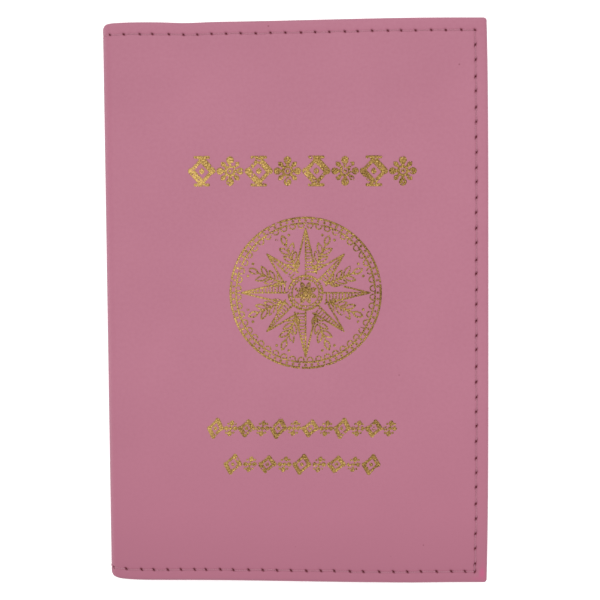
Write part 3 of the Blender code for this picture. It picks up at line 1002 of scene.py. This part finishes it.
# ---- materials
class Nodes:

    def __init__(self, name):
        self.material = bpy.data.materials.new(name)
        self.material.use_nodes = True
        self.tree = self.material.node_tree
        self.shader = self.tree.nodes["Principled BSDF"]

    def add(self, kind, inputs=(), **props):
        node = self.tree.nodes.new("ShaderNode" + kind)
        for key, value in props.items():
            setattr(node, key, value)
        for key, value in dict(inputs).items():
            self.feed(node.inputs[key], value)
        return node

    def feed(self, socket, value):
        if isinstance(value, bpy.types.NodeSocket):
            self.tree.links.new(value, socket)
        else:
            socket.default_value = value

    def field(self, name):
        """A stored number of the surface, such as the painted shade of holes, creases and seams, the dye
        tint, the painted shade along the rim and fold, or the foil's painted gleam.
        """
        return self.add("Attribute", attribute_name=name).outputs["Fac"]

    def flat(self):
        """The flat description of the surface."""
        return self.add("Attribute", attribute_name="flat").outputs["Vector"]

    def noise(self, vector, scale, detail=2.0, roughness=0.5):
        values = {"Vector": vector, "Scale": scale, "Detail": detail, "Roughness": roughness}
        return self.add("TexNoise", values).outputs["Fac"]

    def cells(self, vector, scale, feature="F1"):
        return self.add("TexVoronoi", {"Vector": vector, "Scale": scale}, feature=feature)

    def pores(self, vector):
        """The leather's pores, which show through the foil too."""
        return self.cells(vector, 2.4, "SMOOTH_F1").outputs["Distance"]

    def remap(self, value, low, high, to_low=0.0, to_high=1.0):
        values = {"Value": value, "From Min": low, "From Max": high, "To Min": to_low, "To Max": to_high}
        return self.add("MapRange", values).outputs["Result"]

    def math(self, operation, first, second):
        return self.add("Math", {0: first, 1: second}, operation=operation).outputs[0]

    def mix(self, share, first, second):
        return self.add("Mix", {0: share, 6: first, 7: second}, data_type="RGBA").outputs[2]

    def bump(self, height, strength, distance):
        values = {"Height": height, "Strength": strength, "Distance": distance * MM}
        return self.add("Bump", values).outputs["Normal"]

    def finish(self, **sockets):
        names = {"colour": "Base Color", "roughness": "Roughness", "normal": "Normal",
                 "metallic": "Metallic", "specular": "Specular IOR Level", "sheen": "Sheen Weight"}
        for key, value in sockets.items():
            self.feed(self.shader.inputs[names[key]], value)
        return self.material


def rgb(red, green, blue):
    """A linear colour from the values that a screen shows, 0 to 255."""
    linear = []
    for value in (red, green, blue):
        share = value / 255
        linear.append(share / 12.92 if share <= 0.04045 else ((share + 0.055) / 1.055) ** 2.4)
    return (*linear, 1.0)


# dark colour of the leather's own specks, and of the painted shade in holes, creases, the seam's groove and
# stitch ends
SPECK_AND_HOLE_SHADE_COLOUR = rgb(98, 0, 22)
# painted shade along the rim and over the fold: its greyer, darker colour and how much of it is mixed in
RIM_SHADE_COLOUR = rgb(118, 92, 102)
RIM_SHADE_SHARE = 0.36
# painted shade towards the top, bottom and fold
EDGE_SHADE_COLOUR = rgb(160, 96, 116)
WHITE = (1.0, 1.0, 1.0, 1.0)


def painted_edge_shade(n, along, height):
    """Painted shade: how much darker the leather is drawn towards its top, bottom and fold."""
    top = n.remap(height, HEIGHT - 33, HEIGHT, 0.0, 0.17)
    bottom = n.remap(height, 17.0, 3.0, 0.0, 0.30)
    fold = n.remap(along, WIDTH - 18, WIDTH - 2, 0.0, 0.10)
    return n.math("ADD", n.math("MAXIMUM", top, bottom), fold)


def specks(n, flat):
    """A few small dark specks, at some of the middles of wide cells."""
    cells = n.cells(flat, 0.12)
    spot = n.remap(cells.outputs["Distance"], 0.016, 0.034, 1.0, 0.0)
    draw = n.add("SeparateColor", {0: cells.outputs["Color"]}).outputs[0]
    chosen = n.math("GREATER_THAN", draw, 0.55)
    return n.math("MULTIPLY", n.math("MULTIPLY", spot, chosen), 0.5)


def leather_material(name, light, deep, low, dye, grain_strength, roughness):
    """Smooth dyed leather: slow and fine changes of tone and a fine grain, with painted shade that makes it
    deeper low down and towards its top, bottom and fold, along its rim, and in its holes, creases and seam
    groove.
    """
    n = Nodes(name)
    flat = n.flat()
    slow = n.noise(flat, 0.045)
    fine = n.noise(flat, 1.1, 3.0)
    place = n.add("SeparateXYZ", {0: flat}).outputs
    # painted shade: the leather is drawn in its low colour towards the bottom
    colour = n.mix(n.remap(place["Y"], 50.0, 4.0), light, low)
    tone = n.math("ADD", n.remap(slow, 0.3, 0.7, 0.0, 0.4), n.remap(fine, 0.35, 0.75, 0.0, 0.3))
    colour = n.mix(tone, colour, deep)
    # painted shade towards the top, bottom and fold
    colour = n.mix(painted_edge_shade(n, place["X"], place["Y"]), colour, EDGE_SHADE_COLOUR)
    colour = n.mix(specks(n, flat), colour, SPECK_AND_HOLE_SHADE_COLOUR)
    colour = n.mix(n.field("tint"), colour, dye)
    # painted shade, greyer and darker, along the rim and over the fold
    colour = n.mix(n.math("MULTIPLY", n.field("rim_and_fold_shade"), RIM_SHADE_SHARE), colour, RIM_SHADE_COLOUR)
    # painted shade in needle holes and creases and along the seam's groove
    colour = n.mix(n.field("hole"), colour, SPECK_AND_HOLE_SHADE_COLOUR)
    creases = n.noise(flat, 4.5, 4.0, 0.6)
    relief = n.math("ADD", n.math("MULTIPLY", n.pores(flat), 0.7), n.math("MULTIPLY", creases, 0.5))
    normal = n.bump(relief, grain_strength, 0.05)
    shine = n.remap(fine, 0.3, 0.7, roughness - 0.05, roughness + 0.05)
    return n.finish(colour=colour, roughness=shine, normal=normal, specular=0.35)


def thread_material(name, light, dark):
    n = Nodes(name)
    fibre = n.noise(n.flat(), 6.0, 3.0, 0.7)
    colour = n.mix(n.remap(fibre, 0.3, 0.7), dark, light)
    # painted shade on the stitch's ends, where they dive into the holes
    colour = n.mix(n.field("hole"), colour, SPECK_AND_HOLE_SHADE_COLOUR)
    return n.finish(colour=colour, roughness=0.62, normal=n.bump(fibre, 0.5, 0.04), specular=0.3)


def foil_material(name, bright, mid, dark):
    """Hot-stamped foil over a grained leather: dull grains and dark flecks, with painted glints where the
    film is drawn bright and a painted gleam along each stamp.
    """
    n = Nodes(name)
    flat = n.flat()
    grains = n.noise(flat, 2.7, 3.0, 0.7)
    patch = n.noise(flat, 0.16, 1.0)
    level = n.math("ADD", grains, n.remap(patch, 0.3, 0.7, -0.05, 0.05))
    # painted gleam: the film is drawn brighter towards each stamp's left end
    level = n.math("ADD", level, n.field("painted_gleam"))
    # painted glints: the film is drawn bright where its grain's level is high
    colour = n.mix(n.remap(level, 0.53, 0.63), mid, bright)
    colour = n.mix(n.remap(level, 0.38, 0.46, 1.0, 0.0), colour, dark)
    normal = n.bump(n.math("ADD", n.pores(flat), grains), 0.75, 0.11)
    shine = n.remap(level, 0.35, 0.65, 0.55, 0.36)
    return n.finish(colour=colour, roughness=shine, normal=normal, metallic=0.85)


def weave_material(name, light, dark):
    n = Nodes(name)
    flat = n.flat()
    waves = {"Vector": flat, "Scale": 0.62, "Distortion": 0.0}
    warp, weft = (n.add("TexWave", waves, bands_direction=axis).outputs["Fac"] for axis in ("X", "Y"))
    over = n.add("TexChecker", {"Vector": flat, "Scale": 1.97}).outputs["Fac"]
    woven = n.add("Mix", {0: over, 2: warp, 3: weft}, data_type="FLOAT").outputs[0]
    slub = n.noise(flat, 0.8, 3.0)
    colour = n.mix(n.remap(woven, 0.1, 0.9), dark, light)
    colour = n.mix(n.remap(slub, 0.4, 0.8, 0.0, 0.4), colour, dark)
    normal = n.bump(woven, 0.7, 0.10)
    return n.finish(colour=colour, roughness=0.85, normal=normal, specular=0.15, sheen=0.2)


def floor_material():
    """White paper on a faintly lit table, which keeps the shadow round the holder light."""
    n = Nodes("floor_paper")
    spot = n.noise(n.add("TexCoord").outputs["Object"], 3.0)
    colour = n.mix(spot, (0.93, 0.93, 0.93, 1), (0.96, 0.96, 0.96, 1))
    n.feed(n.shader.inputs["Emission Color"], WHITE)
    n.feed(n.shader.inputs["Emission Strength"], FLOOR_GLOW)
    return n.finish(colour=colour, roughness=0.9, specular=0.1)


# the fourth colour of each leather, low, is painted shade towards its bottom
PINK = leather_material(
    "pink_leather", rgb(184.3, 116.5, 137.5), rgb(175.3, 108, 129), rgb(178.3, 108, 130),
    rgb(196, 92, 132), 0.22, 0.50,
)
PINK_INSIDE = leather_material(
    "pink_leather_inside", rgb(176, 113, 132), rgb(165, 102, 121), rgb(174, 111, 130),
    rgb(180, 90, 122), 0.40, 0.58,
)
THREAD = thread_material("seam_thread", rgb(196, 136, 154), rgb(176, 116, 134))
# the gold's first colour is drawn in painted glints, the last in the dark flecks of the grain
GOLD = foil_material("gold_foil", rgb(202, 167, 98), rgb(148, 115, 62), rgb(86, 60, 21))
WEAVE = weave_material("lining_fabric", rgb(150, 96, 116), rgb(104, 60, 78))


# ---- pieces
def corner_dye(a, b):
    spot_a, spot_b = DYE_SPOT_AT
    squeeze_a, squeeze_b = DYE_SPOT_SHAPE
    beside = np.hypot((a - spot_a) * squeeze_a, (b - spot_b) * squeeze_b)
    spot = DYE_SPOT - ramp(beside, DYE_SPOT, *DYE_SPOT_FADE)
    along_bottom = ramp(a, DYE_TRAIL, 5.5, -4) * bell(b - 1.0, DYE_TRAIL_WIDTH)
    along_fore = ramp(b, DYE_TRAIL, 7.5, -5) * bell(a - 1.1, DYE_TRAIL_WIDTH)
    return np.maximum(spot, np.maximum(along_bottom, along_fore))


def near_fold(a):
    """Asks for the small cells that a bend needs."""
    return np.where(a > FOLD_FINE_FROM, TWO_UNITS, FAR)


def outer_skin(half, seam, stamps, a, b):
    """The outer face's detail: seam, foil bed and dye, with painted shade in the seam's holes and along its
    groove.
    """
    calm = 1 - ramp(a, *SEAM_FADE)
    groove, width, dent = SKIN_RELIEF
    reach, press, dark = seam.relief(a, b, calm * groove, width, dent)
    for height, place, swell_width in SEAM_SWELLS:
        press = press - height * bell(reach - place, swell_width)
    # painted shade along the seam's groove, faded at the fold with the groove
    dark = np.maximum(dark, calm * SEAM_GROOVE_SHADE * bell(reach, SEAM_GROOVE_SHADE_WIDTH))
    near = np.minimum(np.abs(reach) - SKIN_FINE, near_fold(a))
    for stamp in stamps:
        distance = stamp.sample(a, b)
        near = np.minimum(near, distance - EDGE_FINE)
        press = press + foil_press(distance)
    return near, press, dark, corner_dye(a, b) if half.front else no_field(a)


def inner_skin(half, seam, a, b):
    """The inner face's detail: the step of the hem, and the seam where no sleeve covers it."""
    shown = a > SLEEVE_END[half.name] - SLEEVE_OVERLAP
    past_hem = np.minimum(np.minimum(a, b), HEIGHT - b) - HEM_WIDTH
    step = smooth(past_hem / HEM_STEP)
    reach, seam_press, dark = seam.relief(a, b, *HEM_RELIEF)
    press = (HEM_END - LEATHER) * step + ramp(a, *HEM_THINNING) * (1 - step)
    press = press + np.where(shown, seam_press, 0)
    near = np.minimum(np.abs(reach) - SKIN_FINE, np.abs(past_hem - HEM_STEP / 2) - EDGE_FINE)
    near = np.where(shown, np.minimum(near, TWO_UNITS), FAR)
    return near, press, np.where(shown, dark, 0), no_field(a)


def make_skin(half, seam, stamps):
    """One half of the hide, with its edges turned in."""

    def detail(face, a, b):
        return outer_skin(half, seam, stamps, a, b) if face == 0 else inner_skin(half, seam, a, b)

    skin = plate(
        half.name + "_cover_leather", half, (0.0, HALF_LENGTH), (0.0, HEIGHT), 0.0, HEM_END,
        PINK, detail, corner=0.8, cut_end=True,
    )
    nodes = half.cad_nodes(
        ["leather", "hem_top", "hem_outer", "hem_bottom"], ["leather", "hem_top", "hem_bottom"]
    )
    half.attach(skin, "pink_leather", nodes, folds=True)
    return skin


def lining_ease(a, b):
    """Slack folds of the lining along the spine."""
    folds = np.sin(FULL_TURN * (a + 0.6 * np.sin(b / 11)) / LINING_EASE_PITCH) ** 2
    along = 0.6 + 0.4 * np.sin(b / 17 + a / 5)
    return ramp(a, *LINING_EASE) * folds * along


def make_lining(half):
    """One half of the woven lining, from the fore edge's hem to the middle of the spine."""

    def detail(face, a, b):
        return near_fold(a), no_field(a), no_field(a), no_field(a)

    lining = plate(
        half.name + "_lining_cloth", half, (LINING_INSET, HALF_LENGTH), (LINING_INSET, HEIGHT - LINING_INSET),
        LINING_DEPTH, LINING, WEAVE, detail, bulge=lining_ease, corner=0.6, cut_end=True,
    )
    half.attach(lining, "lining_fabric", half.cad_nodes(["lining"], ["lining"]), folds=True)


def sleeve_gape(half, a, b):
    """How far a sleeve stands off the lining, most at the middle of its mouth."""
    gape = ramp(a, SLEEVE_GAPE, SLEEVE_MOUTH[half.name] - SLEEVE_GAPE_REACH, SLEEVE_GAPE_REACH)
    along_mouth = np.clip((b - SLEEVE_GAPE_INSET) / (HEIGHT - 2 * SLEEVE_GAPE_INSET), 0, 1)
    return gape * np.sin(math.pi * along_mouth)


def creased_face(seam, relief, shown, a, b, to_mouth, crease):
    """An inner face's detail: the crease inside its mouth, and the seam where it is shown, with painted shade
    in the crease and in the seam's holes.
    """
    crease_inset, crease_press = crease
    reach, seam_press, dark = seam.relief(a, b, *relief)
    beside = to_mouth - crease_inset
    pressed = bell(beside, CREASE_WIDTH)
    near = np.minimum(np.abs(beside) - CREASE_FINE, np.where(shown, np.abs(reach) - SLEEVE_FINE, FAR))
    press = crease_press * pressed + np.where(shown, seam_press, 0)
    return near, press, np.maximum(CREASE_SHADE * pressed, np.where(shown, dark, 0)), no_field(a)


def inside_plate(name, half, span_a, span_b, depth, thickness, inner_face, node):
    """A plate of the inside leather, plain towards the lining, that gapes as the sleeve does."""

    def detail(face, a, b):
        if face == 1:
            return inner_face(a, b)
        return np.full(np.shape(a), FAR), no_field(a), no_field(a), no_field(a)

    piece = plate(
        name, half, span_a, span_b, depth, thickness, PINK_INSIDE, detail,
        bulge=lambda a, b: sleeve_gape(half, a, b),
    )
    half.attach(piece, "pink_leather_inside", [node])


def make_sleeve(half, seam):
    """The sleeve that a cover of the passport slides into, creased along its mouth."""
    low, high = SLEEVE_BOX[half.name]
    mouth = SLEEVE_MOUTH[half.name]

    def inner_face(a, b):
        return creased_face(seam, SLEEVE_RELIEF, True, a, b, mouth - a, SLEEVE_CREASE)

    inside_plate(
        half.name + "_sleeve_leather", half, (FORE_X - high[0], mouth), (low[1] + TOP_Y, high[1] + TOP_Y),
        SLEEVE_DEPTH, SLEEVE, inner_face, half.name + "_sleeve",
    )


def make_threads(half, seam):
    """The needle thread on the outer face, and the bobbin thread on the sleeve and the spine's hems."""

    def inner_face(a, b):
        hem = HEM_END - ramp(a, *HEM_THINNING)
        return np.where(a < SLEEVE_MOUTH[half.name], STACK + sleeve_gape(half, a, b), hem)

    needle, bobbin = (
        half.cad_nodes([thread], [thread + "_top", thread + "_bottom"])
        for thread in ("needle_thread", "bobbin_thread")
    )
    stitched(half.name + "_needle_stitches", half, seam, lambda a, b: no_field(a), needle)
    stitched(half.name + "_bobbin_stitches", half, seam, inner_face, bobbin, into=-1, dive=0.4)


def card_layer(name):
    """Name, depth, thickness and mouth height of a card pocket."""
    low, high = box_mm("card_pocket_" + name)
    return name, THICK - high[2], high[2] - low[2], high[1] + TOP_Y


def make_card_pocket(half, seam, name, depth, thickness, mouth):
    """One card pocket, creased along its mouth and stitched where the next one leaves it open."""
    hidden_below = CARD_LOW if name == "bottom" else mouth - CARD_STEP

    def inner_face(a, b):
        shown = b > hidden_below - CARD_OVERLAP
        return creased_face(seam, CARD_RELIEF, shown, a, b, mouth - b, CARD_CREASE)

    inside_plate(
        "card_pocket_leather_" + name, half, (CARD_FORE, CARD_MOUTH_END), (CARD_LOW, mouth),
        depth, thickness, inner_face, "card_pocket_" + name,
    )


def make_card_pockets(half):
    """Three stepped pockets on the front sleeve, with one seam round them."""
    layers = [card_layer(name) for name in ("top", "middle", "bottom")]
    seam = card_seam(layers[0][3])
    for layer in layers:
        make_card_pocket(half, seam, *layer)

    def inner_face(a, b):
        level = no_field(b)
        for _, depth, thickness, mouth in layers:
            level = np.where(b < mouth + LAYER_GAP, depth + thickness, level)
        return level + sleeve_gape(half, a, b)

    stitched(
        "card_pocket_stitches", half, seam, inner_face, ["card_pocket_thread"], folds=False,
        into=-1, thickness=0.14, lie=0.03, dive=0.3,
    )


def make_half(half, stamps):
    seam = edge_seam(half)
    skin = make_skin(half, seam, stamps)
    make_lining(half)
    make_sleeve(half, seam)
    make_threads(half, seam)


# ---- stage
def make_floor():
    corners = [(-1, -1), (1, -1), (1, 1), (-1, 1)]
    mesh = bpy.data.meshes.new("floor")
    mesh.from_pydata([(x * FLOOR_HALF, y * FLOOR_HALF, FLOOR_LEVEL) for x, y in corners], [], [(0, 1, 2, 3)])
    mesh.materials.append(floor_material())
    add_object("floor", mesh)


def make_world():
    world = bpy.data.worlds.new("soft_surround")
    world.use_nodes = True
    surround = world.node_tree.nodes["Background"]
    surround.inputs["Color"].default_value = WHITE
    surround.inputs["Strength"].default_value = WORLD_STRENGTH
    bpy.context.scene.world = world


def make_key_light():
    """One wide soft light, high above the top edge, turned to the holder."""
    data = bpy.data.lights.new("key", "AREA")
    data.energy = KEY_POWER
    data.size = KEY_SIZE
    light = add_object("key", data)
    light.location = x, y, z = KEY_PLACE
    light.rotation_euler = (math.atan2(math.hypot(x, y), z), 0.0, math.atan2(y, x) + math.pi / 2)


def make_camera():
    """Straight above, from far away."""
    data = bpy.data.cameras.new("camera")
    data.lens = LENS
    data.sensor_width = SENSOR
    camera = add_object("camera", data)
    camera.location = (VIEW_X, 0.0, THICK * MM + VIEW_WIDTH * LENS / SENSOR)
    bpy.context.scene.camera = camera


# ---- build
title = Stamp("foil_title", 1.12)
emblem = Stamp("foil_emblem", 1.15)
upper_caption = Stamp("foil_caption_upper", 1.15)
lower_caption = Stamp("foil_caption_lower", 1.10)
draw_title(title)
draw_emblem(emblem)
draw_caption(upper_caption, 12)
draw_caption(lower_caption, 9)

front, back = Half("front"), Half("back")
make_half(front, [title, emblem, upper_caption, lower_caption])
make_half(back, [])
make_card_pockets(front)
# each foil's last numbers are painted gleam: how much brighter it is drawn at its left end, a little further
# on and at its right end
foil_piece("title_foil", title, front, 31, (0.11, 0.06, -0.02))
foil_piece("emblem_foil", emblem, front, 37, (0.12, 0.03, -0.02))
foil_piece("upper_caption_foil", upper_caption, front, 41, (0.09, 0.03, 0.01))
foil_piece("lower_caption_foil", lower_caption, front, 43, (0.09, 0.03, 0.02))

make_floor()
make_world()
make_key_light()
make_camera()
bpy.context.scene.view_settings.view_transform = "Standard"
